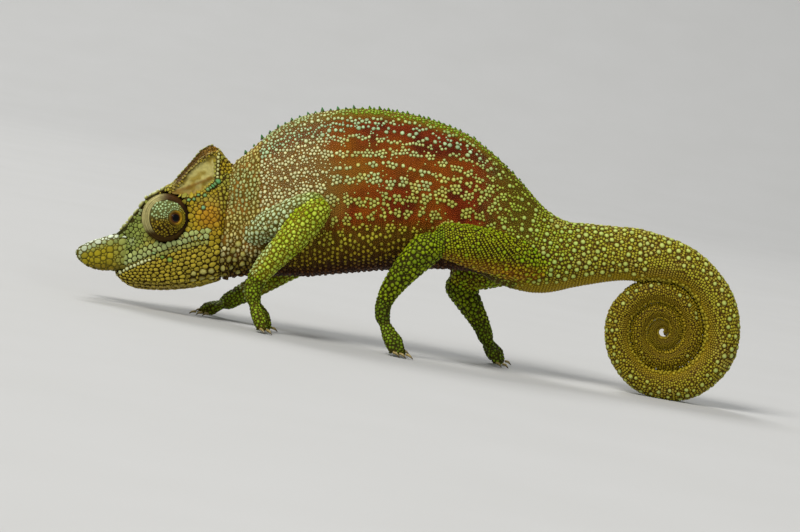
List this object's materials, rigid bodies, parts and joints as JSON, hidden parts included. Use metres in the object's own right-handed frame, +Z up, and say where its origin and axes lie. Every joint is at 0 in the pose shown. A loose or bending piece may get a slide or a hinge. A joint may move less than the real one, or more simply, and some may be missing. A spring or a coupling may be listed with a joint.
{
  "type": "two-horned chameleon",
  "caption": "Still, life-size chameleon standing on the floor with a raised casque, blunt scaly snout horns and a coiled tail.",
  "frame": {"origin": "centre of the outline on the floor, under the belly", "axes": "+X from the snout towards the tail, +Y towards the animal's right side, +Z up"},
  "size_m": [0.1042, 0.0242, 0.0376],
  "materials": {
    "skin": "matt granular scales, green to rust-red",
    "horn": "satin large scales, ochre with a pale rim",
    "claw": "satin horn",
    "eye": "wet gloss"
  },
  "bodies": {
    "root": {"casque": "skin", "claw_arm_left_1": "claw", "claw_arm_left_2": "claw", "claw_arm_left_3": "claw", "claw_arm_left_4": "claw", "claw_arm_left_5": "claw", "claw_arm_right_1": "claw", "claw_arm_right_2": "claw", "claw_arm_right_3": "claw", "claw_arm_right_4": "claw", "claw_arm_right_5": "claw", "claw_leg_left_1": "claw", "claw_leg_left_2": "claw", "claw_leg_left_3": "claw", "claw_leg_left_4": "claw", "claw_leg_left_5": "claw", "claw_leg_right_1": "claw", "claw_leg_right_2": "claw", "claw_leg_right_3": "claw", "claw_leg_right_4": "claw", "claw_leg_right_5": "claw", "eye_left": "eye", "eye_right": "eye", "foot_left": "skin", "foot_right": "skin", "forearm_left": "skin", "forearm_right": "skin", "hand_left": "skin", "hand_right": "skin", "head": "skin", "horn_left": "horn", "horn_right": "horn", "lower_jaw": "skin", "neck": "skin", "shank_left": "skin", "shank_right": "skin", "tail_coil_inner": "skin", "tail_coil_middle": "skin", "tail_coil_outer": "skin", "tail_root": "skin", "tail_tip": "skin", "thigh_left": "skin", "thigh_right": "skin", "trunk": "skin", "turret_left": "skin", "turret_right": "skin", "upper_arm_left": "skin", "upper_arm_right": "skin"}
  },
  "joints": []
}
